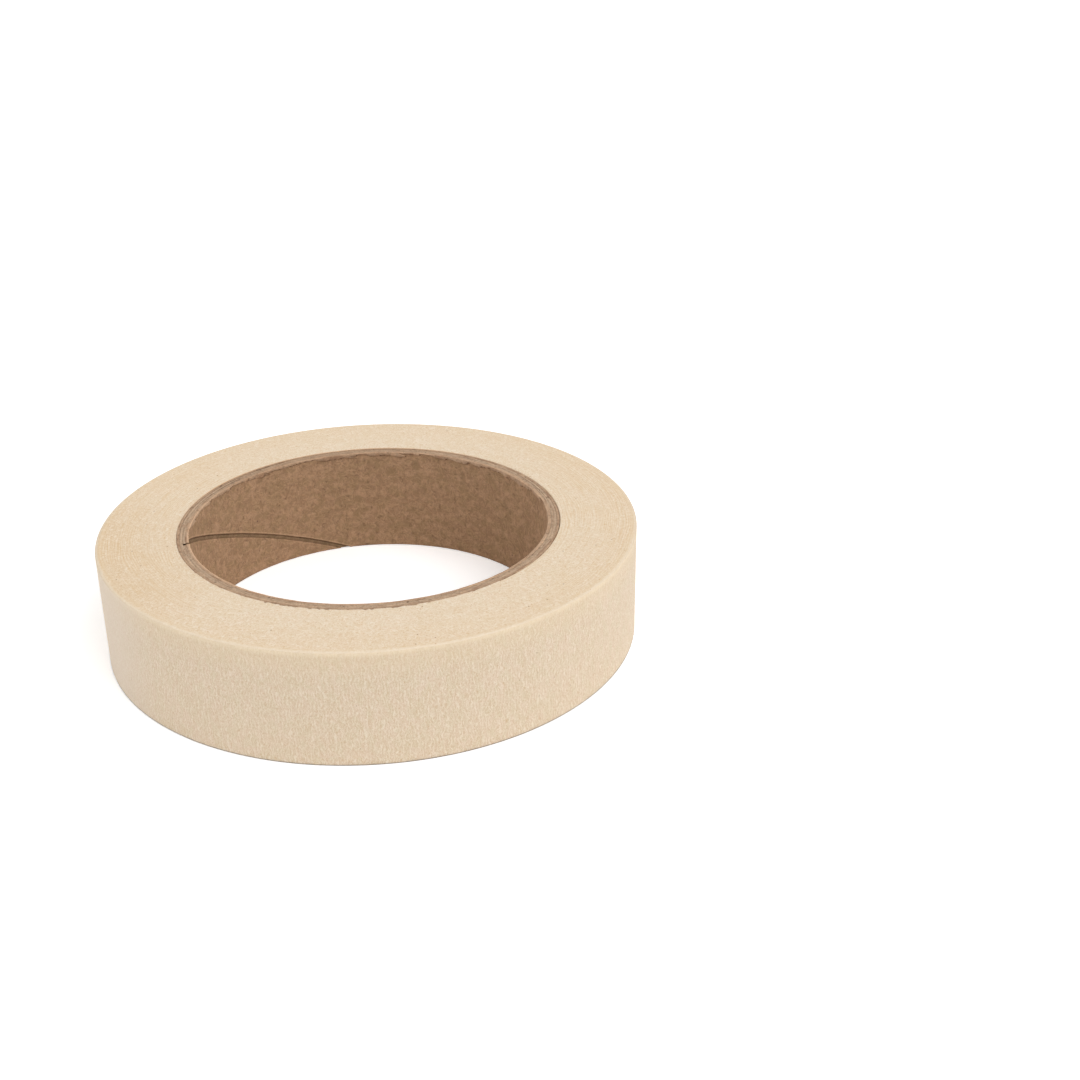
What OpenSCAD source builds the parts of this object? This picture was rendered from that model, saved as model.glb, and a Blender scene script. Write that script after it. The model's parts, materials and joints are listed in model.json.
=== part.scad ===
// Roll of crepe-paper masking tape on a spiral-wound board core.
// The roll lies flat: +Z is the roll's axis, and the origin is the centre of its lower end.
// Units are millimetres.

/* [Core] */
// Inside diameter of the core, the standard 3 inch spindle size
bore_d = 76.2; // [60:0.1:90]
// Thickness of one board ply
ply_t = 0.6; // [0.3:0.05:1.2]
// Thickness of the glue line between two plies, and between the core and the tape
glue_t = 0.02; // [0.01:0.01:0.1]

/* [Core seams] */
// Angle at which the board strips are wound, measured from the core's rim
seam_angle = 22; // [14:1:40]
// Width of the butt seam left open in the liner ply
liner_gap = 0.9; // [0.3:0.1:2]
// Width of the butt seams in the three board plies behind the liner
board_gap = 0.2; // [0.1:0.05:1]
// Direction in which the liner's seam reaches the upper rim, in degrees from +X
liner_seam_at = 197; // [0:1:359]
// Turn from one ply's seam to the next ply's, in degrees
seam_stagger = 90; // [40:5:120]

/* [Tape] */
// Width of the tape, which is the height of the roll
tape_w = 24.4; // [12:0.1:75]
// Thickness of the tape with its adhesive
tape_t = 0.13; // [0.1:0.01:0.3]
// Outside diameter of the roll, across the cut end of the tape
roll_d = 114; // [95:0.5:180]

/* [Loose end] */
// Direction of the tape's cut end, in degrees from +X
end_at = 114; // [0:1:359]
// Length of tape that lifts off the roll
end_len = 36; // [16:1:60]
// Air left under the loose end
end_clearance = 0.02; // [0.01:0.01:0.05]

/* [Hidden] */
$fn = 180;

PLIES = 4;                                        // the liner and three board plies
END_PIECES = 4;                                   // stiff lengths that stand for the bending end
SLICE_DEG = 3;                                    // turn of one facet of a seam's wall
BLADE_SIDES = 4;                                  // sides of the blade that cuts a seam
CUT = 1;                                          // how far a cutting shape runs past what it cuts
HALF_PLANE = 2 * roll_d;                          // wider than anything that a half plane trims

ply_pitch = ply_t + glue_t;
core_d = bore_d + 2 * PLIES * ply_pitch;          // outside of the core with its last glue line
seam_lead = PI * bore_d * tan(seam_angle);        // height that one whole turn of a seam would take
seam_turn = 360 * tape_w / seam_lead;             // turn of a seam between the two rims

// The tape's last lap is a spiral of two half turns. Each half turn is a true arc, and their
// centres lie a quarter of a tape's thickness either side of the roll's axis, so the lap gains
// one thickness per turn and steps down at the cut end. END and START are the half turns that
// hold the cut end and that run under it; both are given in the frame whose X points at the end.
END = 1;
START = -1;
end_r = roll_d / 2;
start_r = end_r - tape_t / 2;
end_piece_deg = end_len / END_PIECES / end_r * 180 / PI;
end_deg = END_PIECES * end_piece_deg;

board = "#9E7C60";
board_face = "#A98A6C";
crepe = "#DDC8AB";
crepe_end = "#E3D0B4";

function ply_r(ply) = bore_d / 2 + ply * ply_pitch;

// A flat ring of tape width, from one radius to another
module ring(inner_r, outer_r) {
    difference() {
        cylinder(r = outer_r, h = tape_w);
        translate([0, 0, -CUT]) cylinder(r = inner_r, h = tape_w + 2 * CUT);
    }
}

// The helical blade of air that a butt seam leaves in a ply, ending at the upper rim at angle 0
module seam(ply, gap) {
    over_deg = seam_turn * CUT / tape_w;
    swept = seam_turn + 2 * over_deg;
    level_gap = gap / sin(seam_angle);
    translate([0, 0, -CUT])
        rotate([0, 0, -seam_turn - over_deg])
            linear_extrude(height = tape_w + 2 * CUT, twist = -swept,
                           slices = ceil(swept / SLICE_DEG), segments = BLADE_SIDES)
                translate([ply_r(ply) - CUT, -level_gap / 2])
                    square([ply_t + 2 * CUT, level_gap]);
}

// One board strip: a single turn of it is left in a roll of this width
module ply_strip(ply, gap) {
    difference() {
        ring(ply_r(ply), ply_r(ply) + ply_t);
        rotate([0, 0, liner_seam_at + ply * seam_stagger]) seam(ply, gap);
    }
}

module core_liner_ply() { color(board) ply_strip(0, liner_gap); }

module core_inner_ply() { color(board_face) ply_strip(1, board_gap); }

module core_middle_ply() { color(board_face) ply_strip(2, board_gap); }

module core_outer_ply() { color(board_face) ply_strip(3, board_gap); }

// Keeps what lies within the half plane anticlockwise of an angle
module anticlockwise_of(angle) {
    intersection() {
        children();
        rotate([0, 0, angle])
            translate([-HALF_PLANE / 2, 0, -CUT])
                cube([HALF_PLANE, HALF_PLANE, tape_w + 2 * CUT]);
    }
}

// Moves a shape onto the centre of one half turn of the last lap
module on_centre(half) {
    rotate([0, 0, end_at]) translate([half * tape_t / 4, 0, 0]) children();
}

// One half turn of the last lap, from the underside of the tape up to its outer face
module half_lap(half) {
    outer_r = half == END ? end_r : start_r;
    anticlockwise_of(half == END ? 0 : 180) ring(outer_r - tape_t, outer_r);
}

// Everything under the last lap: the laps are stuck to each other all the way through
module tape_pack() {
    color(crepe_end)
        difference() {
            union() {
                on_centre(END) anticlockwise_of(0) cylinder(r = end_r - tape_t, h = tape_w);
                on_centre(START) anticlockwise_of(180) cylinder(r = start_r - tape_t, h = tape_w);
            }
            translate([0, 0, -CUT]) cylinder(d = core_d, h = tape_w + 2 * CUT);
        }
}

// The last lap as far as the line where the loose end begins to lift
module tape_outer_lap() {
    color(crepe)
        union() {
            on_centre(END) anticlockwise_of(end_deg) half_lap(END);
            on_centre(START) half_lap(START);
        }
}

// One stiff length of the loose end. Length 0 is at the lifting line and the last is the cut end.
// It turns outwards on the edge of its outer face that is nearer to the lifting line.
module end_piece(index) {
    from = (END_PIECES - 1 - index) * end_piece_deg;
    color(crepe)
        on_centre(END)
            anticlockwise_of(from)
                rotate([0, 0, from + end_piece_deg])
                    mirror([0, 1, 0])
                        anticlockwise_of(0)
                            ring(end_r - tape_t + end_clearance, end_r);
}

module tape_end_root() { end_piece(0); }

module tape_end_second() { end_piece(1); }

module tape_end_third() { end_piece(2); }

module tape_end_tip() { end_piece(3); }

core_liner_ply();
core_inner_ply();
core_middle_ply();
core_outer_ply();
tape_pack();
tape_outer_lap();
tape_end_root();
tape_end_second();
tape_end_third();
tape_end_tip();
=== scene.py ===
"""A roll of masking tape lying flat: crepe paper tape wound on a spiral board core.

Lengths in the mesh code are millimetres, and go into the meshes as metres.
"""

import json
import math

import bpy
import numpy as np
from mathutils import Matrix, Vector


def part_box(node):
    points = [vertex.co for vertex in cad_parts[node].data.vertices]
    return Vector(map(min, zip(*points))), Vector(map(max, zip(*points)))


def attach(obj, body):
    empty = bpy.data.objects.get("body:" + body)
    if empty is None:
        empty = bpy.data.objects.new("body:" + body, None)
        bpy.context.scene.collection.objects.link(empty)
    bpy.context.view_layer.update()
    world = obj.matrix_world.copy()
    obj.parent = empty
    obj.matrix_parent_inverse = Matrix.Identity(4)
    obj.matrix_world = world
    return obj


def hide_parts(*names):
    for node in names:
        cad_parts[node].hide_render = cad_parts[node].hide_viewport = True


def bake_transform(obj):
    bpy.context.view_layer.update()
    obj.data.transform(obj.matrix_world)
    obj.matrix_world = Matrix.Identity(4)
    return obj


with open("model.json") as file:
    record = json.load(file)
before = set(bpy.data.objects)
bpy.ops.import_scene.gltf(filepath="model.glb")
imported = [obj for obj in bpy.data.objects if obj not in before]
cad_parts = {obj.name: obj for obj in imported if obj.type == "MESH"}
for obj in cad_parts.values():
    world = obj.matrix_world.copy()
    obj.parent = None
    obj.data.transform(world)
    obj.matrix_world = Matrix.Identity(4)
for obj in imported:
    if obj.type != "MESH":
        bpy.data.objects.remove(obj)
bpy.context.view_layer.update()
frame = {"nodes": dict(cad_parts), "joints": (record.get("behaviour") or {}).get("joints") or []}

MM = 0.001


# ---------------------------------------------------------------- sizes from the frame

def node_points(node):
    """Every vertex of a CAD node, in mm"""
    mesh = frame["nodes"][node].data
    points = np.zeros(len(mesh.vertices) * 3)
    mesh.vertices.foreach_get("co", points)
    return points.reshape(-1, 3) / MM


def node_radii(node):
    """The smallest and the largest distance of a CAD node from the axis, in mm"""
    points = node_points(node)
    reach = np.hypot(points[:, 0], points[:, 1])
    return reach.min(), reach.max()


def turn_of(point):
    """The angle of a point round the axis, in degrees"""
    return math.degrees(math.atan2(point[1], point[0]))


TAPE_T = 0.13                                     # thickness of one lap, as wound
TAPE_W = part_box("tape_pack")[1].z / MM            # width of the tape
END_R = node_radii("tape_end_tip")[1]             # radius at the cut end
PACK_R = node_radii("tape_pack")[0]               # radius at the start of the tape
END_DEG = min(turn_of(p) for p in node_points("tape_end_tip"))
HINGES = [np.array(joint["pos_m"]) / MM for joint in frame["joints"]]
HINGE_TURNS = [turn_of(p) - END_DEG for p in HINGES]

SEAM_SLOPE = math.radians(22)                     # rise of the seams round the bore
BORE_R = node_radii("core_liner_ply")[0]
SEAM_TURN = math.degrees(TAPE_W / math.tan(SEAM_SLOPE) / BORE_R)


# ---------------------------------------------------------------- repeatable noise

def lattice(ix, iy, seed):
    """A repeatable number from -1 to 1 for each whole-number point"""
    h = (ix.astype(np.int64) * 374761393 + iy.astype(np.int64) * 668265263
         + seed * 974711) & 0xFFFFFFFF
    h = ((h ^ (h >> 13)) * 1274126177) & 0xFFFFFFFF
    h = ((h ^ (h >> 16)) * 1597334677) & 0xFFFFFFFF
    return ((h ^ (h >> 15)) & 0xFFFFFF) / 0x7FFFFF - 1


def noise(x, y, seed):
    """Smooth noise from -1 to 1 that changes over about one unit of x or y"""
    x, y = np.broadcast_arrays(np.asarray(x, float), np.asarray(y, float))
    ix, iy = np.floor(x), np.floor(y)
    fx, fy = x - ix, y - iy
    ux = fx * fx * fx * (fx * (fx * 6 - 15) + 10)
    uy = fy * fy * fy * (fy * (fy * 6 - 15) + 10)
    low = lattice(ix, iy, seed) * (1 - ux) + lattice(ix + 1, iy, seed) * ux
    high = lattice(ix, iy + 1, seed) * (1 - ux) + lattice(ix + 1, iy + 1, seed) * ux
    return low * (1 - uy) + high * uy


# ---------------------------------------------------------------- mesh making

def make_piece(name, points, quads, caps=(), slots=None, crease_deg=50):
    """A mesh object from points in mm. Faces are turned outwards, and sharp edges stay sharp.
    slots holds a material slot for each quad, and the caps take the last slot."""
    flat = points.reshape(-1, 3)
    a, b, c, d = (flat[quads[:, k]] for k in range(4))
    volume = np.einsum("ij,ij->i", a, np.cross(b, c) + np.cross(c, d)).sum()
    for cap in caps:
        ring = flat[np.array(cap)]
        fan = np.cross(ring[1:-1] - ring[0], ring[2:] - ring[0])
        volume += (fan @ ring[0]).sum()
    if volume < 0:
        quads = quads[:, ::-1]
        caps = [cap[::-1] for cap in caps]
    corners = np.concatenate([quads.ravel(), *[np.array(cap) for cap in caps]])
    sizes = np.concatenate([np.full(len(quads), 4), [len(cap) for cap in caps]]).astype(int)
    mesh = bpy.data.meshes.new(name)
    mesh.vertices.add(len(flat))
    mesh.vertices.foreach_set("co", (flat * MM).ravel())
    mesh.loops.add(len(corners))
    mesh.loops.foreach_set("vertex_index", corners.astype(np.int32))
    mesh.polygons.add(len(sizes))
    mesh.polygons.foreach_set("loop_start", (np.cumsum(sizes) - sizes).astype(np.int32))
    mesh.update(calc_edges=True)
    if slots is not None:
        all_slots = np.concatenate([slots, np.full(len(caps), slots.max())])
        mesh.polygons.foreach_set("material_index", all_slots.astype(np.int32))
    mesh.polygons.foreach_set("use_smooth", np.ones(len(sizes), bool))
    mesh.set_sharp_from_angle(angle=math.radians(crease_deg))
    piece = bpy.data.objects.new(name, mesh)
    bpy.context.scene.collection.objects.link(piece)
    return piece


def swept_quads(sections, ring):
    """Quads between neighbouring cross-sections, each a closed ring of points"""
    i = np.arange(sections - 1)[:, None] * ring
    j = np.arange(ring)[None, :]
    k = (j + 1) % ring
    return np.stack([i + j, i + k, i + ring + k, i + ring + j], -1).reshape(-1, 4)


def end_caps(quads, ring):
    """The two ends of swept_quads as faces, each turned to run against the quads beside it"""
    last = int(quads.max()) + 1 - ring
    caps = [list(range(ring)), list(range(last, last + ring))]
    steps = set(map(tuple, np.concatenate([quads[:, [k, (k + 1) % 4]] for k in range(4)]).tolist()))
    return [cap[::-1] if (cap[0], cap[1]) in steps else cap for cap in caps]


def set_values(piece, name, values):
    """One number on each vertex, for the materials to read"""
    made = piece.data.attributes.new(name, "FLOAT", "POINT")
    made.data.foreach_set("value", np.asarray(values, np.float32).ravel())


def set_map(piece, name, across, up):
    """A UV map in mm from one pair of numbers on each vertex"""
    corners = np.zeros(len(piece.data.loops), np.int32)
    piece.data.loops.foreach_get("vertex_index", corners)
    pairs = np.stack([across.ravel()[corners], up.ravel()[corners]], -1)
    piece.data.uv_layers.new(name=name).data.foreach_set("uv", pairs.astype(np.float32).ravel())


def round_axis(radius, degrees, height):
    """Points in mm from a radius, an angle round the axis and a height"""
    angle = np.radians(degrees)
    across, along = radius * np.cos(angle), radius * np.sin(angle)
    return np.stack(np.broadcast_arrays(across, along, height), -1)


# ---------------------------------------------------------------- the tape
# A place along the tape is its turn in degrees, anticlockwise from the cut end, so it grows
# inwards, lap after lap, as far as the core.

RIM_R = 0.9                                       # rounding that handling gives the outer laps
RIM_DROP = 0.42                                   # how far the outer lap is worn down at the top
FOOT_DROP = 0.02                                  # and at the foot, where it only rests
LAP_MM = 0.012                                    # unevenness of one lap against the next
GROUP_MM = 0.013                                  # unevenness of a group of laps
WAVES = 5                                         # most waves of a group in one turn


def strip_r(turn):
    """The radius of the tape's outer face"""
    return END_R - TAPE_T * turn / 360


def strip_mm(turn):
    """The length of tape from the cut end"""
    return np.radians(turn) * (END_R - TAPE_T * turn / 720)


def edge_inset(turn, seed, rim):
    """How far a slit edge lies inside the roll's face: worn at the rim, uneven elsewhere"""
    depth = TAPE_T * (turn / 360 + 0.5)
    out = np.clip(1 - depth / RIM_R, 0, 1)
    worn = rim * (1 - np.sqrt(1 - out * out))
    lap = LAP_MM * (1 + noise(turn / 150, 0.5, seed))
    radius, angle = END_R - depth, np.radians(END_DEG + turn)
    group = 0
    for k in range(WAVES):
        wave = np.cos(k * angle + 2.1 * k)
        step = noise(radius / 0.45, k + 0.5, seed + 1) + 1.6 * noise(radius / 1.4, k + 0.5, seed + 2)
        group = group + wave * step / (1.5 + k)
    return worn + lap + GROUP_MM * (group + 3)


def crepe(length, height):
    """The creped face, from 0 in a hollow to 1 on a ridge. Short wavy ridges run across the tape."""
    warp = length + 0.42 * noise(length / 1.5, height / 1.5, 31)
    warp = warp + 0.16 * noise(length / 0.7, height / 0.55, 32)
    lift = height + 0.8 * noise(length / 1.9, height / 2.2, 33)
    long_ridge = 1 - np.abs(noise(warp / 0.80, lift / 1.9, 34)) / 0.34
    short_ridge = 1 - np.abs(noise(warp / 0.52, lift / 1.1, 35)) / 0.38
    hollow = noise(warp / 0.45, lift / 1.0, 37)
    patch = 0.75 + 0.25 * noise(length / 5, height / 4, 36)
    ridges = 0.62 * np.clip(long_ridge, 0, 1) + 0.45 * np.clip(short_ridge, 0, 1)
    return np.clip(0.16 + patch * ridges + 0.20 * hollow, 0, 1)


STRIP_T = 0.115                                   # the tape without the air between two laps
CREPE_MM = 0.032                                  # from crease to ridge
LIP = 0.03                                        # height of the rounding of a slit edge
FOOT_NOTCH = 0.03                                 # small nicks in the lower slit edge
FACE_ROWS = 33
CUT_DEG = 0.6                                     # how far from the cut end its fraying fades out
CURL_DEG = 2.5                                    # and how far its lifted corner does
FACE, EDGE, GLUE = 0, 1, 2                        # material slots of a strip


def tape_strip(name, start, stop, columns, fray=0.0, lift=0.0):
    """A length of tape as a thin closed solid. fray and lift are how uneven the end at start is,
    and how far it stands off the roll."""
    turn = np.linspace(start, stop, columns + 1)[:, None]
    low = edge_inset(turn, 50, FOOT_DROP) + FOOT_NOTCH * (1 + noise(turn / 9, 0.5, 51))
    high = TAPE_W - edge_inset(turn, 40, RIM_DROP)
    share = np.linspace(0, 1, FACE_ROWS + 1)[None, :]
    height = low + LIP + (high - low - 2 * LIP) * share
    frayed = fray * (noise(height / 0.7, 0.5, 52) + 0.5 * noise(height / 0.25, 0.5, 53))
    at = np.degrees(frayed / END_R) * np.clip(1 - (turn - start) / CUT_DEG, 0, 1)
    ridge = crepe(strip_mm(turn), height)
    up = lift * np.clip(1 - (turn - start) / CURL_DEG, 0, 1) ** 2
    face = round_axis(strip_r(turn) + up - CREPE_MM * (1 - ridge), END_DEG + turn + at, height)

    def rail(depth, level, shift):
        return round_axis(strip_r(turn) + up - depth, END_DEG + turn + shift, level)

    rim, foot = at[:, -1:], at[:, :1]
    rails = [rail(STRIP_T * 0.5, high, rim), rail(STRIP_T, high - LIP, rim),
             rail(STRIP_T, low + LIP, foot), rail(STRIP_T * 0.5, low, foot)]
    points = np.concatenate([face, *rails], axis=1)
    ring = points.shape[1]
    quads = swept_quads(columns + 1, ring)
    row = np.tile(np.arange(ring), columns)
    underside = FACE_ROWS + 2
    slots = np.where(row < FACE_ROWS, FACE, np.where(row == underside, GLUE, EDGE))
    piece = make_piece(name, points, quads, end_caps(quads, ring), slots)
    around = np.broadcast_to(strip_mm(turn), height.shape)
    around = np.concatenate([around, np.repeat(around[:, :1], len(rails), axis=1)], axis=1)
    levels = np.concatenate([height, high, high - LIP, low + LIP, low], axis=1)
    set_map(piece, "strip_mm", around, levels)
    edges = np.repeat(ridge[:, -1:], len(rails), axis=1)
    set_values(piece, "relief", np.concatenate([ridge, edges], axis=1))
    return piece


VALLEY_MM = 0.022                                 # depth of the groove between two laps
ROUND_DEG = 180                                   # no crease is sharp: the grooves shade smoothly


def wound_laps(name, first_turn, per_lap=240):
    """All the laps below the outer one, as one spiral solid with a valley between each two. Its
    points are three spirals: the valleys and the crowns of the upper end, and the lower end."""
    step = 360 / per_lap
    count = int((END_R - PACK_R) / TAPE_T * per_lap - first_turn / step) - per_lap + 1
    turn = first_turn + step * np.arange(count + per_lap)
    inset = edge_inset(turn, 40, RIM_DROP)
    outside = edge_inset(np.maximum(turn - 360, 0), 40, RIM_DROP)
    valley_z = TAPE_W - np.maximum(inset, outside) - VALLEY_MM
    valley = round_axis(strip_r(turn), END_DEG + turn, valley_z)
    within = turn[:count]
    crown = round_axis(strip_r(within) - TAPE_T / 2, END_DEG + within, TAPE_W - inset[:count])
    foot = round_axis(strip_r(turn), END_DEG + turn, edge_inset(turn, 50, FOOT_DROP))
    v, c, f = 0, len(valley), len(valley) + len(crown)
    lap = np.arange(count - 1)
    outer = np.arange(per_lap)
    inner = np.arange(count - 1, count - 1 + per_lap)

    def band(a, b, k):
        return np.stack([a + k, a + k + 1, b + k + 1, b + k], -1)

    quads = np.concatenate([band(v, c, lap), band(c, v + per_lap, lap), band(f + per_lap, f, lap),
                            band(f, v, outer), band(v, f, inner)])
    last = count - 1
    caps = [[v, c, v + per_lap, f + per_lap, f],
            [f + last, f + last + per_lap, v + last + per_lap, c + last, v + last]]
    piece = make_piece(name, np.concatenate([valley, crown, foot]), quads, caps, crease_deg=ROUND_DEG)
    values = [np.zeros(len(valley)), np.ones(len(crown)), np.zeros(len(foot))]
    set_values(piece, "crown", np.concatenate(values))
    return piece


# ---------------------------------------------------------------- the core
# Each ply is a strip that runs round as a helix, so it has one sloping seam. "torn" says what its
# surface is: 0 is a face, 1 a cut edge, 2 loose fibre, and -1 the glue stain along the liner's seam
# and painted shade under the flaps and in the pit.

CUT_ROUGH, CUT_WAVE = 0.02, 0.04                  # short and long unevenness of the cut rim
FOOT_GAP = 0.06                                   # least gap under the plies
FOOT_WAVE = 0.04                                  # and its unevenness
ARRIS = 0.05                                      # rounding of a strip's edges
EDGE_SINK = 0.012                                 # how far that rounding lies below the cut edge
STAIN_AND_SHADE_MM = 0.15                                   # width of the glue stain and painted shade along the liner's seam
SEAM_SOFT, SEAM_SOFT_MM = 0.10, 0.16              # depth and width of a seam's softened edges
PIT_MM = 0.26                                     # half width of the pit where the seam meets the rim
PIT_DEPTH = 0.9
SWELL_MM = 0.62                                   # half width of the next ply's swelling into the seam
LIP_HIGHLIGHT_DEG = 222                                    # where a highlight is painted on the liner's lip


def flaps(rough):
    """Rows over the flaps that the knife folded into the bore: how far each lies below the rim,
    how far it stands out of the bore, and what its surface is. rough runs round in mm."""
    steps = noise(np.floor(rough / 4.1 + 0.5 * noise(rough / 2.2, 0.5, 61)) + 0.01, 0.5, 62)
    hang = np.clip(0.52 + 0.75 * steps + 0.35 * noise(rough / 2.6, 0.5, 63)
                   + 0.15 * noise(rough / 0.55, 0.5, 64), 0.03, 1.3)
    fold = 0.15 * np.clip(hang / 0.3, 0, 1) + 0.05 * noise(rough / 1.7, 0.5, 65)
    # the row just above the flaps is -1: painted shadow under them
    return [(hang + 0.26, 0 * fold, 0), (hang + 0.05, 0 * fold, -1), (hang, 0.8 * fold, 1),
            (0.8 * hang, fold, 1), (0.5 * hang, 0.95 * fold, 1), (0.2 * hang, 0.8 * fold, 1)]


def loose_fibres(rough, degrees, length):
    """How far the fibres that the knife drew reach out over the tape, most of them in front"""
    front = 0.12 + 0.88 * np.clip(-np.sin(np.radians(degrees)), 0, 1) ** 2
    short = np.clip(noise(rough / 0.9, 0.5, 66) + 0.8 * noise(rough / 0.42, 0.5, 67), 0, 0.5)
    tufts = 0.5 * np.clip(3 * noise(rough / 1.3, 0.5, 68) - 1.2, 0, 1)
    return np.clip(length * front * (short + tufts) - 0.12, 0, None)


def off_angle(degrees):
    """An angle from -180 to 180"""
    return (degrees + 180) % 360 - 180


def bump(distance, width, power=2):
    """A smooth hump: 1 in its middle and next to nothing past its width"""
    return np.exp(-(distance / width) ** power)


def ragged(height, coarse, fine, seed):
    """How far a torn edge wanders, in degrees"""
    return 0.22 * noise(height / coarse, 0.5, seed) + 0.10 * noise(height / fine, 0.5, seed + 1)


def ply_section(inner, outer, low, high, rows, over_flaps, drawn, pit):
    """A ply's cross-section, from the foot of the bore's side up, over the rim, and down the
    outside: its heights, its radii, what its surface is, and its first row on the rim"""
    middle = (outer - inner) / 2
    top = high - ARRIS
    ceiling = top - (over_flaps[0][0] if over_flaps else ARRIS)
    share = np.linspace(0, 1, rows + 1)[None, :]
    inside = low + ARRIS + (ceiling - low - ARRIS) * share
    inside_r = inner + 0 * inside
    torn = 0 * inside
    for down, proud, surface in over_flaps[1:]:
        inside = np.concatenate([inside, top - down], axis=1)
        inside_r = np.concatenate([inside_r, inner - proud], axis=1)
        torn = np.concatenate([torn, surface + 0 * down], axis=1)
    proud = over_flaps[-1][1] * 0.6 if over_flaps else 0 * high
    over = high - EDGE_SINK + 0.09 * np.clip(drawn / 0.08, 0, 1)
    rim_z = [top, high - EDGE_SINK, high, over, top]
    rim_r = [inner - proud, inner + ARRIS - 0.6 * proud, inner + middle + 0 * high,
             outer - ARRIS + drawn, outer + 0 * high]
    outside = (low + ARRIS + (top - low - ARRIS) * share)[:, ::-1][:, 1:]
    sole_z = [low + EDGE_SINK, low, low + EDGE_SINK]
    sole_r = [outer - ARRIS + 0 * low, inner + middle + 0 * low, inner + ARRIS + 0 * low]
    height = np.concatenate([inside, *rim_z, outside, *sole_z], axis=1)
    radius = np.concatenate([inside_r, *rim_r, outer + 0 * outside, *sole_r], axis=1)
    cut = np.ones((len(high), 3))
    loose = 1 + np.clip(drawn / 0.15, 0, 1)
    # the pit where the seam meets the rim goes below 0, for painted shade in it
    torn = np.concatenate([torn, cut - 2.5 * pit, loose - 2.5 * pit, cut[:, :1], 0 * outside, cut],
                          axis=1)
    return height, radius, torn, inside.shape[1]


def ply_strip(name, node, seam_deg, gap, columns, rows, recess, liner=False, swell=None, fray=0.0):
    """One ply with its open seam. recess is how far its ends lie inside the tape's faces, swell
    is the angle and height of the swelling into the next ply's seam, where a pit is left in the
    rim, and fray the length of the loose fibres that the cut drew over the tape."""
    inner, outer = node_radii(node)
    along = np.linspace(0, 1, columns + 1)[:, None]
    round_deg = seam_deg + 360 * along
    rough = 7 * seam_deg + BORE_R * np.radians(360 * along)
    seed = int(seam_deg)
    high = (TAPE_W - recess - CUT_ROUGH * (1 + noise(rough / 1.7, 0.5, seed))
            - CUT_WAVE * (1 + noise(rough / 9, 0.5, seed + 1)))
    low = FOOT_GAP + FOOT_WAVE * (1 + noise(rough / 1.3, 0.5, seed + 2))
    pit = 0 * along
    if swell:
        pit = bump(np.radians(off_angle(round_deg - swell[0] - 1)) * inner, PIT_MM)
        high = high - PIT_DEPTH * pit
    over_flaps = flaps(rough) if liner else []
    drawn = loose_fibres(rough, round_deg, fray)
    height, radius, torn, rim_row = ply_section(inner, outer, low, high, rows, over_flaps, drawn, pit)

    # the seam, frayed on both sides, and pressed shut by the flaps of the liner
    shut = np.clip((high - height) / 0.8, 0.35, 1) if liner else 1
    half = shut * math.degrees(gap / math.sin(SEAM_SLOPE) / inner) / 2
    seam = seam_deg - SEAM_TURN * (1 - height / TAPE_W)
    start = seam + half + ragged(height, 0.55, 0.2, seed + 3)
    stop = seam + 360 - half + ragged(height, 0.6, 0.23, seed + 5)
    degrees = start + (stop - start) * along
    seam_mm = np.minimum(along, 1 - along) * 2 * math.pi * inner * math.sin(SEAM_SLOPE)

    # the bore's side: waves of the board, softened edges along the seam, and the swelling
    bore_side = (radius < inner + 0.01) * (torn < 0.5)
    arc = np.radians(degrees) * inner
    wave = (0.025 * (1 + noise(arc / 5, height / 4, seed + 7))
            + 0.006 * (1 + noise(arc / 0.8, height / 0.8, seed + 8)))
    radius = radius + (wave + SEAM_SOFT * bump(seam_mm, SEAM_SOFT_MM)) * bore_side
    if swell:
        off_seam = off_angle(degrees - swell[0] + SEAM_TURN * (1 - height / TAPE_W))
        off_mm = np.radians(off_seam) * inner * math.sin(SEAM_SLOPE)
        below_rim = np.clip((high - height) / 1.5, 0, 1)
        radius = radius - swell[1] * bump(off_mm - 0.17, SWELL_MM, 4) * below_rim * bore_side

    points = round_axis(radius, degrees, height)
    ring = points.shape[1]
    quads = swept_quads(columns + 1, ring)
    piece = make_piece(name, points, quads, end_caps(quads, ring))
    pale_lip_and_highlight = 0 * torn
    if liner:
        # glue stain and painted shade along the liner's seam
        torn = torn - 0.8 * bump(seam_mm, STAIN_AND_SHADE_MM) * bore_side
        # painted highlight on the liner's lip, strongest on one side, over a little real paleness of
        # the lip
        lit = np.clip((np.cos(np.radians(round_deg - LIP_HIGHLIGHT_DEG)) - 0.5) / 0.45, 0, 1)
        pale_lip_and_highlight[:, rim_row:rim_row + 2] = (0.1 + 0.8 * lit) * (1, 0.7)
        # and a painted highlight along the upper edge of the liner's seam
        pale_lip_and_highlight = pale_lip_and_highlight + 0.45 * bump(seam_mm - 0.32, 0.11) * bore_side * (along > 0.5)
    set_values(piece, "torn", torn)
    set_values(piece, "pale_lip_and_highlight", pale_lip_and_highlight)
    return piece


# ---------------------------------------------------------------- materials

def linear(red, green, blue):
    """A linear colour from 0-255 sRGB"""
    made = []
    for value in (red, green, blue):
        share = value / 255
        made.append(share / 12.92 if share <= 0.04045 else ((share + 0.055) / 1.055) ** 2.4)
    return (*made, 1)


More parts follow.
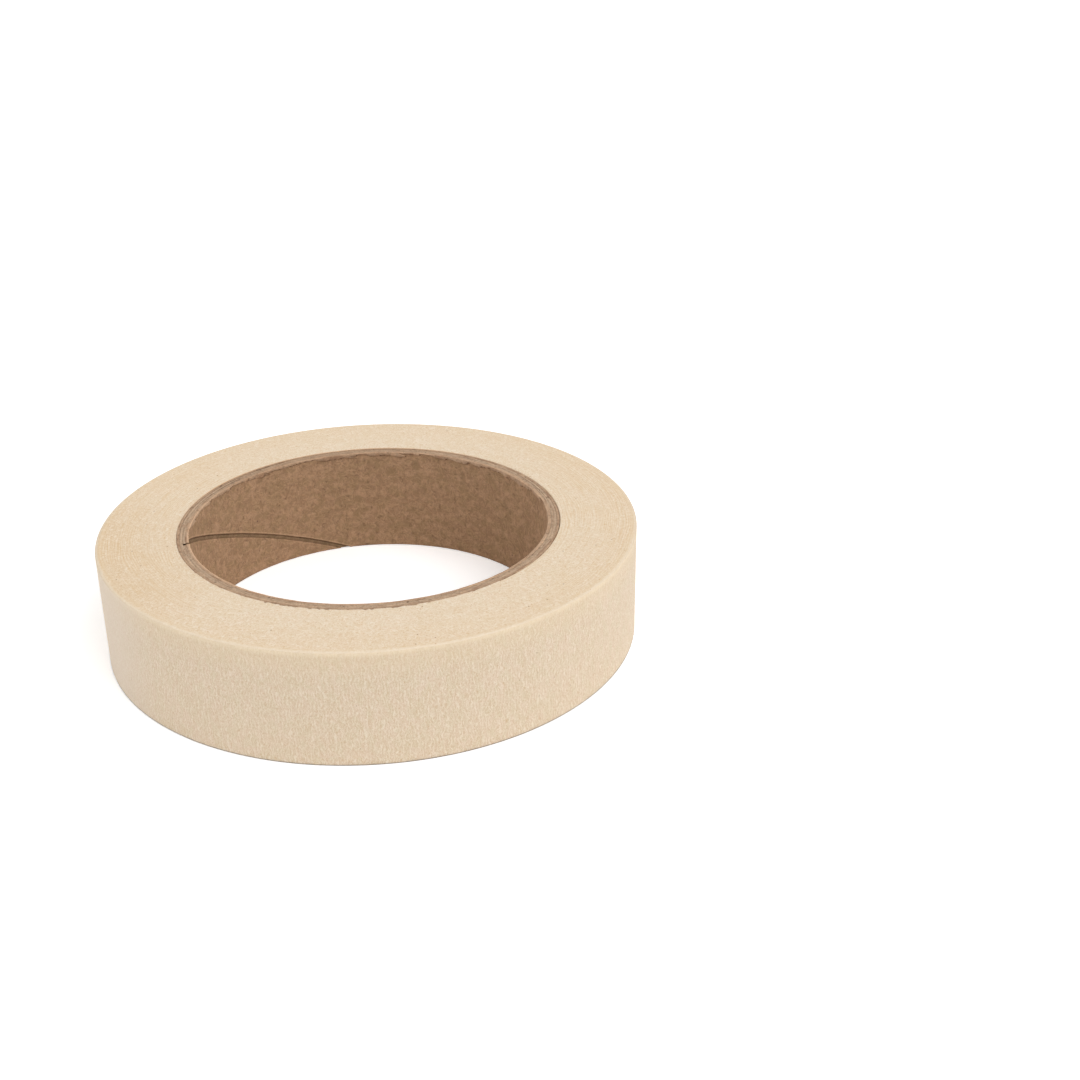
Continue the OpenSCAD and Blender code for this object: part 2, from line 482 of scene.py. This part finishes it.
class Shader:
    """One procedural material under construction. Each method adds a node and returns its output."""

    def __init__(self, name, roughness, specular=0.5):
        self.material = bpy.data.materials.new(name)
        self.material.use_nodes = True
        self.tree = self.material.node_tree
        self.tree.nodes.clear()
        self.surface = self.tree.nodes.new("ShaderNodeBsdfPrincipled")
        self.surface.inputs["Roughness"].default_value = roughness
        self.surface.inputs["Specular IOR Level"].default_value = specular
        output = self.tree.nodes.new("ShaderNodeOutputMaterial")
        self.tree.links.new(self.surface.outputs[0], output.inputs[0])

    def node(self, kind, inputs, output=0, **settings):
        made = self.tree.nodes.new(kind)
        for key, value in settings.items():
            setattr(made, key, value)
        for key, value in inputs.items():
            if isinstance(value, bpy.types.NodeSocket):
                self.tree.links.new(value, made.inputs[key])
            else:
                made.inputs[key].default_value = value
        return made.outputs[output]

    def math(self, operation, a, b=0.0):
        return self.node("ShaderNodeMath", {0: a, 1: b}, operation=operation)

    def times(self, a, b):
        return self.math("MULTIPLY", a, b)

    def plus(self, a, b):
        return self.math("ADD", a, b)

    def vector(self, operation, a, b=(0, 0, 0), output=0):
        return self.node("ShaderNodeVectorMath", {0: a, 1: b}, output, operation=operation)

    def part(self, place, letter):
        """The X, Y or Z of a place"""
        return self.node("ShaderNodeSeparateXYZ", {0: place}, letter)

    def between(self, value, low, high, to_low=0.0, to_high=1.0):
        """value from low..high to to_low..to_high, smoothly and clamped"""
        return self.node("ShaderNodeMapRange", {0: value, 1: low, 2: high, 3: to_low, 4: to_high},
                         interpolation_type="SMOOTHSTEP")

    def object_mm(self):
        place = self.node("ShaderNodeTexCoord", {}, "Object")
        return self.node("ShaderNodeVectorMath", {0: place, "Scale": 1 / MM}, operation="SCALE")

    def radius(self, place):
        """How far a place is from the axis"""
        return self.vector("LENGTH", self.scaled(place, 1, 1, 0), output=1)

    def outward(self, place):
        """The direction from the axis to a place, 1 long"""
        return self.vector("NORMALIZE", self.scaled(place, 1, 1, 0))

    def toward(self, turn):
        """The cosine of the angle round the axis between a point and a turn in degrees"""
        aim = (math.cos(math.radians(turn)), math.sin(math.radians(turn)), 0)
        return self.vector("DOT_PRODUCT", self.outward(self.object_mm()), aim, output=1)

    def map_mm(self, name):
        return self.node("ShaderNodeUVMap", {}, uv_map=name)

    def scaled(self, place, x, y, z):
        return self.vector("MULTIPLY", place, (x, y, z))

    def noise(self, place, scale, detail=2.0, roughness=0.5, distortion=0.0):
        return self.node("ShaderNodeTexNoise", {"Vector": place, "Scale": scale, "Detail": detail,
                                                "Roughness": roughness, "Distortion": distortion})

    def value(self, name):
        return self.node("ShaderNodeAttribute", {}, "Fac", attribute_name=name)

    def mix(self, share, a, b):
        return self.node("ShaderNodeMix", {0: share, 6: a, 7: b}, 2, data_type="RGBA")

    def tint(self, base, share, red, green, blue):
        """base with a share of an sRGB colour over it"""
        return self.mix(share, base, linear(red, green, blue))

    def foot_shaded(self, base, level):
        """base with painted shade along the foot of the roll, where it meets the floor"""
        return self.tint(base, self.between(level, FOOT_SHADE_TOP, FOOT_SHADE_FULL, 0.0, FOOT_SHADE_MOST), *FOOT_SHADE_RGB)

    def curls(self, place, scale, width, distortion=1.0):
        """1 along thin wandering lines, as of fibres or fine folds"""
        field = self.noise(place, scale, 1.5, 0.5, distortion)
        away = self.math("ABSOLUTE", self.math("SUBTRACT", field, 0.5))
        return self.between(away, 0.0, width, 1.0, 0.0)

    def specks(self, place, spacing, size, share, dimensions="2D"):
        """1 in sparse round specks. share is the part of a grid's cells that have one."""
        cell = self.tree.nodes.new("ShaderNodeTexVoronoi")
        cell.voronoi_dimensions = dimensions
        self.tree.links.new(place, cell.inputs["Vector"])
        cell.inputs["Scale"].default_value = 1 / spacing
        chosen = self.node("ShaderNodeSeparateColor", {0: cell.outputs["Color"]})
        kept = self.math("LESS_THAN", chosen, share)
        wobble = self.noise(place, 4.0, 1.0)
        half = 0.5 * size / spacing
        reach = self.plus(cell.outputs["Distance"], self.times(wobble, half))
        dot = self.between(reach, half, 1.1 * size / spacing, 1.0, 0.0)
        return self.times(dot, kept)

    def finish(self, colour, height, depth_mm):
        """Connects the colour and a bump of that depth"""
        self.tree.links.new(colour, self.surface.inputs["Base Color"])
        sockets = {"Strength": 1.0, "Distance": depth_mm * MM, "Height": height}
        self.tree.links.new(self.node("ShaderNodeBump", sockets), self.surface.inputs["Normal"])
        return self.material


# painted shade along the foot of the roll, darkest next to the floor
FOOT_SHADE_RGB = (130, 115, 101)
FOOT_SHADE_MOST = 0.85                                     # how strong the painted shade at the foot is where it is strongest
FOOT_SHADE_TOP, FOOT_SHADE_FULL = 0.38, 0.16                  # heights where the painted shade starts and where it is strongest
PAINTED_LIGHT_DEG = 200                                   # the side of the roll with a painted reflection on the creped face and painted shade on the laps' edges
SHADED_DEG = 115                                  # the side where shade is painted on the core's rim and on the tape beside it


def crepe_face():
    """The creped paper back of the tape"""
    m = Shader("crepe_face", 0.62, 0.35)
    place = m.map_mm("strip_mm")
    relief = m.value("relief")
    along = m.part(place, "X")
    warp = m.noise(m.scaled(place, 0.85, 0.55, 1), 1.0, 2.0, 0.5, 0.3)
    phase = m.plus(m.times(along, 9.0), m.times(warp, 19.0))
    broken = m.between(m.noise(m.scaled(place, 1.5, 0.5, 2), 1.0, 1.5), 0.40, 0.58)
    stroke = m.times(m.between(m.math("SINE", phase), 0.35, 1.0), broken)
    furrow = m.times(m.between(m.math("SINE", phase), -0.35, -1.0), broken)
    hair = m.curls(m.scaled(place, 3.1, 1.4, 1), 1.0, 0.055, 0.5)
    curl = m.curls(m.scaled(place, 2.6, 1.9, 2), 1.0, 0.045, 0.7)
    shade = m.curls(m.scaled(place, 2.9, 1.5, 3), 1.0, 0.052, 0.5)
    grain = m.noise(m.scaled(place, 3.2, 1.8, 1), 1.0, 1.5, 0.5, 0.3)
    cloud = m.noise(place, 0.16, 2.0)
    tint = m.noise(m.scaled(place, 0.45, 0.30, 1), 1.0, 2.5, 0.6, 0.5)
    base = m.mix(m.between(tint, 0.36, 0.64), linear(221, 204, 175), linear(226, 204, 180))
    base = m.tint(base, m.between(cloud, 0.3, 0.7, 0.0, 0.30), 219, 200, 171)
    # painted highlight on the crepe's ridges and painted shade in its hollows
    base = m.tint(base, m.between(relief, 0.35, 0.95, 0.0, 0.10), 236, 219, 194)
    base = m.tint(base, m.between(relief, 0.30, 0.02, 0.0, 0.12), 206, 182, 150)
    base = m.tint(base, m.between(grain, 0.35, 0.65, 0.18, 0.0), 208, 177, 136)
    base = m.tint(base, m.times(shade, 0.62), 205, 170, 126)
    base = m.tint(base, m.times(curl, 0.56), 242, 227, 208)
    base = m.tint(base, m.times(hair, 0.56), 243, 229, 211)
    # painted shade in the furrows beside the crepe's strokes, and a painted highlight on the strokes
    base = m.tint(base, m.times(furrow, 0.26), 204, 170, 128)
    base = m.tint(base, m.times(stroke, 0.46), 246, 233, 215)
    base = m.tint(base, m.times(m.specks(place, 4.5, 0.20, 0.14), 0.60), 158, 124, 88)
    level = m.part(place, "Y")
    # lighter and yellower towards the top of the side, with a painted highlight just under the worn
    # rim, partly the rim's paler fibre
    base = m.tint(base, m.between(level, TAPE_W - 7, TAPE_W - 1, 0.0, 0.30), 236, 213, 177)
    base = m.tint(base, m.between(level, TAPE_W - 1.5, TAPE_W - 0.5, 0.0, 0.50), 241, 222, 192)
    # painted reflection: the creped face is paler and greyer on one side of the roll
    base = m.tint(base, m.between(m.toward(PAINTED_LIGHT_DEG), 0.86, 0.99, 0.0, 0.55), 229, 213, 195)
    # painted shade at the foot of the side
    base = m.foot_shaded(base, level)
    height = m.plus(m.times(stroke, 0.6), m.plus(m.times(hair, 0.4), grain))
    return m.finish(base, height, 0.018)


def tape_edge():
    """The slit edges of all the laps: fine rings, paper fibre, and a little adhesive"""
    m = Shader("tape_edge", 0.78, 0.3)
    place = m.object_mm()
    flat = m.scaled(place, 1, 1, 0)
    radius, unit = m.radius(place), m.outward(place)
    sideways = m.part(unit, "X")
    # painted light: the rings show most on the left and right sides of the roll
    ring_side_light = m.between(m.times(sideways, sideways), 0.1, 0.9, 0.30, 1.0)
    ring = m.node("ShaderNodeCombineXYZ", {0: 0.0, 1: 0.0, 2: radius})
    polar = m.vector("ADD", m.scaled(unit, 6, 6, 6), ring)
    drift = m.noise(m.scaled(polar, 0.35, 0.35, 0.35), 1.0, 2.0)
    wave = m.math("SINE", m.plus(m.times(radius, 12.0), m.times(drift, 30.0)))
    rings = m.noise(m.scaled(polar, 1, 1, 2.6), 1.0, 2.0, 0.5)
    patch = m.noise(m.scaled(polar, 0.45, 0.45, 0.12), 1.0, 2.0)
    bands = m.noise(m.scaled(polar, 0.5, 0.5, 0.7), 1.0, 2.0)
    fibre = m.curls(flat, 0.95, 0.060, 0.8)
    fluff = m.curls(flat, 1.7, 0.065, 0.9)
    shade = m.curls(flat, 1.2, 0.055, 0.9)
    pit = m.noise(flat, 2.2, 2.0, 0.6, 0.6)
    cloud = m.noise(flat, 0.14, 2.0)
    tint = m.noise(flat, 0.55, 2.0, 0.55)
    outer_share = m.between(radius, PACK_R + 4, END_R - 1.5)
    base = m.mix(outer_share, linear(231, 213, 187), linear(230, 208, 178))
    base = m.tint(base, m.between(tint, 0.38, 0.62, 0.0, 0.5), 233, 210, 184)
    base = m.tint(base, m.between(cloud, 0.3, 0.7, 0.0, 0.4), 229, 210, 180)
    # painted shade: the laps' edges are darker and more orange on that side, most towards the outside
    painted_side_shade = m.times(m.between(m.toward(PAINTED_LIGHT_DEG), 0.80, 0.98, 0.0, 0.75),
                    m.between(radius, PACK_R + 2, END_R - 2, 0.45, 1.0))
    base = m.tint(base, painted_side_shade, 222, 196, 161)
    base = m.tint(base, m.times(shade, 0.34), 210, 174, 124)
    base = m.tint(base, m.times(fibre, 0.49), 250, 239, 224)
    base = m.tint(base, m.times(fluff, 0.37), 248, 236, 220)
    base = m.tint(base, m.between(pit, 0.46, 0.28, 0.0, 0.60), 211, 175, 126)
    ringed = m.times(ring_side_light, m.between(patch, 0.40, 0.62, 0.25, 1.0))
    low_ring = m.times(ringed, m.between(wave, 0.2, -0.9, 0.0, 0.28))
    high_ring = m.times(ringed, m.between(wave, 0.1, 0.95, 0.0, 0.24))
    base = m.tint(base, low_ring, 218, 180, 124)
    base = m.tint(base, high_ring, 248, 232, 208)
    low_ring = m.times(ring_side_light, m.between(rings, 0.48, 0.30, 0.0, 0.27))
    base = m.tint(base, low_ring, 217, 182, 130)
    base = m.tint(base, m.between(bands, 0.45, 0.25, 0.0, 0.25), 224, 198, 164)
    # painted shade in the grooves between laps
    base = m.tint(base, m.between(m.value("crown"), 0.55, 0.0, 0.0, 0.25), 207, 177, 140)
    base = m.tint(base, m.between(radius, END_R - 2.2, END_R - 1.0, 0.0, 0.22), 228, 203, 166)
    # painted highlight on the worn outer rim, partly its paler fibre
    base = m.tint(base, m.between(radius, END_R - 0.9, END_R - 0.2, 0.0, 0.60), 240, 226, 205)
    # painted shade on the laps' edges next to the core
    base = m.tint(base, m.between(radius, PACK_R + 0.6, PACK_R + 0.1, 0.0, 0.12), 208, 178, 146)
    # the adhesive's orange colour and painted shade in the groove where the tape meets the core, only
    # on the shaded side
    glue_and_shade = m.times(m.between(m.toward(SHADED_DEG), 0.4, 0.9),
                     m.between(radius, PACK_R + 0.26, PACK_R + 0.02, 0.0, 0.8))
    base = m.tint(base, glue_and_shade, 222, 177, 130)
    base = m.tint(base, m.times(m.specks(flat, 3.4, 0.26, 0.09), 0.80), 150, 108, 68)
    small = m.specks(m.scaled(flat, 1.1, 0.9, 1), 2.1, 0.20, 0.13)
    base = m.tint(base, m.times(small, 0.60), 190, 144, 96)
    level = m.part(place, "Z")
    # painted shade at the foot of the laps' edges
    base = m.foot_shaded(base, level)
    height = m.plus(m.times(rings, 0.8), m.plus(m.times(fibre, 0.5), pit))
    return m.finish(base, height, 0.035)


def adhesive_side():
    """The underside of the tape, with its rubber adhesive"""
    m = Shader("adhesive_side", 0.38, 0.5)
    place = m.map_mm("strip_mm")
    relief = m.value("relief")
    grain = m.noise(place, 2.6, 3.0, 0.6)
    stroke = m.noise(m.scaled(place, 2.2, 0.5, 1), 1.0, 2.0, 0.6, 0.8)
    base = m.mix(m.between(grain, 0.3, 0.7), linear(219, 195, 157), linear(226, 205, 170))
    # painted shade in the hollows of the crepe
    base = m.tint(base, m.between(relief, 0.5, 0.0, 0.0, 0.4), 206, 178, 138)
    height = m.plus(m.times(stroke, 0.7), m.times(grain, 0.3))
    return m.finish(base, height, 0.03)


def board(name, pale, dark, edge):
    """Grey-brown recycled board. The cut edge is paler and more open than the face."""
    m = Shader(name, 0.92, 0.2)
    place = m.object_mm()
    mottle = m.noise(place, 0.55, 3.0, 0.55, 0.5)
    olive = m.noise(m.scaled(place, 1, 1, 1.4), 0.34, 2.0, 0.5, 0.5)
    fibre = m.curls(place, 0.62, 0.075, 1.0)
    shade = m.curls(m.scaled(place, 0.8, 0.8, 0.8), 1.0, 0.075, 1.0)
    pit = m.noise(place, 1.1, 2.0, 0.55, 0.5)
    base = m.mix(m.between(mottle, 0.40, 0.62), linear(*dark), linear(*pale))
    greener = (0.95 * dark[0], 0.98 * dark[1], 0.93 * dark[2])
    base = m.tint(base, m.between(olive, 0.42, 0.64, 0.0, 0.55), *greener)
    across = m.node("ShaderNodeCombineXYZ", {0: 0.0, 1: 0.0, 2: m.times(m.radius(place), 2.8)})
    streak = m.noise(m.vector("ADD", m.scaled(m.outward(place), 11, 11, 11), across), 1.0, 2.0, 0.6)
    cut = m.between(m.value("torn"), 0.3, 0.9)
    edge_colour = m.mix(m.between(streak, 0.53, 0.66, 0.0, 0.55), linear(*edge), linear(214, 181, 148))
    edge_colour = m.tint(edge_colour, m.between(streak, 0.46, 0.33, 0.0, 0.65), 146, 110, 84)
    # painted shade on the core's cut rim, on one side of the roll
    shaded = m.between(m.toward(SHADED_DEG), 0.5, 0.95, 0.0, 0.30)
    edge_colour = m.tint(edge_colour, shaded, 150, 118, 92)
    base = m.mix(cut, base, edge_colour)
    base = m.tint(base, m.times(shade, 0.30), *(0.80 * c for c in dark))
    base = m.tint(base, m.times(fibre, 0.34), *(min(255, 1.14 * c) for c in pale))
    base = m.tint(base, m.between(pit, 0.42, 0.26, 0.0, 0.55), *(0.74 * c for c in dark))
    base = m.tint(base, m.times(m.specks(place, 4.2, 0.44, 0.40, "3D"), 0.70), 92, 72, 64)
    # below 0: the glue stain along the liner's seam, and painted shade under the flaps and in the pit
    base = m.tint(base, m.between(m.value("torn"), -0.3, -0.9, 0.0, 0.75), 96, 70, 50)
    base = m.tint(base, m.between(m.value("torn"), 1.1, 1.9, 0.0, 0.70), 152, 116, 88)
    # painted highlight on the liner's lip and along its seam, with a little real paleness of the lip
    base = m.tint(base, m.value("pale_lip_and_highlight"), 230, 190, 153)
    height = m.plus(m.times(fibre, 0.4), m.plus(mottle, pit))
    return m.finish(base, height, 0.08)


# ---------------------------------------------------------------- the pieces

def dressed(piece, slot, materials, *nodes):
    """The piece with its materials, and the CAD nodes that it stands for hidden. slot is not used."""
    for material in materials:
        piece.data.materials.append(material)
    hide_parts(*nodes)
    return piece


crepe_mat, edge_mat, glue_mat = crepe_face(), tape_edge(), adhesive_side()
strip_mats = [crepe_mat, edge_mat, glue_mat]

# Each piece of the loose end starts a little behind its hinge, the root less far, because it lies on
# the roll up to its hinge. The points where each would bend, to as far past its hinge, are not used.
BEHIND_MM = [1.5, 2.0, 2.0, 2.0]
PAST_MM = [1.5, 2.0, 2.0, 2.0]
OUTER_COLUMNS = 2300
COLUMNS_PER_DEG = 6.6                             # of the loose end
starts = [turn + math.degrees(mm / END_R) for turn, mm in zip(HINGE_TURNS, BEHIND_MM)]
UNDERLAP = starts[0] + 2                          # the outer lap ends one turn and this far on
CUT_MM = 0.12                                     # how uneven the cut end is, and how far lifted
LINER_SEAM_DEG = 197
SWELL_HEIGHT = 0.36                               # how far the next strip swells into that seam
FIBRE_MM = 0.95                                   # length of the loose fibres at the core's rim

outer_lap = tape_strip("outer_lap", starts[0], 360 + UNDERLAP, OUTER_COLUMNS)
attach(dressed(outer_lap, "tape_face", strip_mats, "tape_outer_lap"), "roll")

laps = wound_laps("wound_laps", 360 + UNDERLAP)
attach(dressed(laps, "tape_edge", [edge_mat], "tape_pack"), "roll")

starts.append(0.0)
for k, name in enumerate(["root", "second", "third", "tip"]):
    last = name == "tip"
    columns = round((starts[k] - starts[k + 1]) * COLUMNS_PER_DEG)
    tail = tape_strip("loose_end_" + name, starts[k + 1], starts[k], columns,
                      fray=CUT_MM if last else 0, lift=CUT_MM if last else 0)
    dressed(tail, "tape_face", strip_mats, "tape_end_" + name)
    past = HINGE_TURNS[k] - math.degrees(PAST_MM[k] / END_R)
    bend = [Vector(round_axis(strip_r(turn), END_DEG + turn, HINGES[k][2]) * MM)
            for turn in (starts[k], past)]
    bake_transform(tail)

kraft = board("kraft_liner", (181, 145, 114), (165, 131, 101), (186, 155, 128))
# name, node, the seam's angle and width, columns, rows, recess, and material
plies = [
    ("core_liner", "core_liner_ply", LINER_SEAM_DEG, 0.9, 840, 34, 0.06, kraft),
    ("core_inner_board", "core_inner_ply", 287, 0.2, 1400, 20, 0.10,
     board("board_inner", (146, 118, 91), (134, 108, 82), (184, 158, 133))),
    ("core_middle_board", "core_middle_ply", 377, 0.2, 420, 24, 0.07,
     board("board_middle", (160, 130, 104), (142, 114, 90), (190, 163, 137))),
    ("core_outer_board", "core_outer_ply", 467, 0.2, 1300, 12, 0.02,
     board("board_outer", (160, 130, 104), (142, 114, 90), (180, 150, 123))),
]
for name, node, seam_deg, gap, columns, rows, recess, material in plies:
    ply = ply_strip(name, node, seam_deg, gap, columns, rows, recess,
                    liner=node == "core_liner_ply",
                    swell=(LINER_SEAM_DEG, SWELL_HEIGHT) if node == "core_inner_ply" else None,
                    fray=FIBRE_MM if node == "core_outer_ply" else 0)
    slot = "core_kraft" if node == "core_liner_ply" else "core_board"
    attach(dressed(ply, slot, [material], node), "roll")


# ---------------------------------------------------------------- floor, light and camera

def unseen_share(tree):
    """1 for the rays that see the background, 0 for the rays that light the object"""
    path = tree.nodes.new("ShaderNodeLightPath")
    total = path.outputs["Is Camera Ray"]
    for name in ("Is Glossy Ray", "Is Transmission Ray"):
        both = tree.nodes.new("ShaderNodeMath")
        both.operation = "ADD"
        both.use_clamp = True
        tree.links.new(total, both.inputs[0])
        tree.links.new(path.outputs[name], both.inputs[1])
        total = both.outputs[0]
    return total


WORLD_LIGHT = 0.50
FLOOR_BOUNCE = 0.80
FLOOR_SHADE = 1.00
FLOOR_GLOW = 0.30

world = bpy.data.worlds.new("studio")
bpy.context.scene.world = world
world.use_nodes = True
tree = world.node_tree
tree.nodes.clear()
sky = tree.nodes.new("ShaderNodeBackground")
strength = tree.nodes.new("ShaderNodeMix")
strength.inputs[2].default_value = WORLD_LIGHT
strength.inputs[3].default_value = 1.0
tree.links.new(unseen_share(tree), strength.inputs[0])
tree.links.new(strength.outputs[0], sky.inputs["Strength"])
sky.inputs["Color"].default_value = (1, 1, 1, 1)
tree.links.new(sky.outputs[0], tree.nodes.new("ShaderNodeOutputWorld").inputs[0])

paper = bpy.data.materials.new("studio_floor")
paper.use_nodes = True
tree = paper.node_tree
tree.nodes.clear()
lit = tree.nodes.new("ShaderNodeBsdfDiffuse")
lit.inputs["Color"].default_value = (FLOOR_BOUNCE,) * 3 + (1,)
shown = tree.nodes.new("ShaderNodeBsdfDiffuse")
shown.inputs["Color"].default_value = (FLOOR_SHADE,) * 3 + (1,)
glow = tree.nodes.new("ShaderNodeEmission")
glow.inputs["Strength"].default_value = FLOOR_GLOW
sum_up = tree.nodes.new("ShaderNodeAddShader")
choose = tree.nodes.new("ShaderNodeMixShader")
tree.links.new(shown.outputs[0], sum_up.inputs[0])
tree.links.new(glow.outputs[0], sum_up.inputs[1])
tree.links.new(unseen_share(tree), choose.inputs[0])
tree.links.new(lit.outputs[0], choose.inputs[1])
tree.links.new(sum_up.outputs[0], choose.inputs[2])
tree.links.new(choose.outputs[0], tree.nodes.new("ShaderNodeOutputMaterial").inputs[0])

bpy.ops.mesh.primitive_plane_add(size=8)
floor = bpy.context.object
floor.name = "floor"
floor.data.materials.append(paper)


def soft_sun(name, azimuth, elevation, share, spread):
    """A broad soft light from one side. share is what it adds to a white surface that faces it."""
    lamp = bpy.data.lights.new(name, "SUN")
    lamp.energy = share * math.pi
    lamp.angle = math.radians(spread)
    made = bpy.data.objects.new(name, lamp)
    bpy.context.scene.collection.objects.link(made)
    a, e = math.radians(azimuth), math.radians(elevation)
    place = Vector((math.sin(a) * math.cos(e), -math.cos(a) * math.cos(e), math.sin(e)))
    made.rotation_euler = place.to_track_quat("Z", "Y").to_euler()
    made.location = place


soft_sun("key", 50, 54, 0.50, 50)
soft_sun("fill", -70, 15, 0.26, 60)
soft_sun("side", 105, 20, 0.12, 50)

CAMERA_MM = (36.301, -291.058, 158.783)
CAMERA_DOWN_DEG = 25.62                           # how far it looks down
CAMERA_ROLL_DEG = 0.43                            # and how far it leans to the right
FOCAL_MM = 49.946

lens = bpy.data.cameras.new("camera")
lens.sensor_width = 36
lens.lens = FOCAL_MM
lens.clip_start, lens.clip_end = 0.01, 50
camera = bpy.data.objects.new("camera", lens)
bpy.context.scene.collection.objects.link(camera)
camera.matrix_world = (Matrix.Translation(Vector(CAMERA_MM) * MM)
                       @ Matrix.Rotation(math.radians(90 - CAMERA_DOWN_DEG), 4, "X")
                       @ Matrix.Rotation(math.radians(-CAMERA_ROLL_DEG), 4, "Z"))
bpy.context.scene.camera = camera
bpy.context.scene.view_settings.view_transform = "Standard"
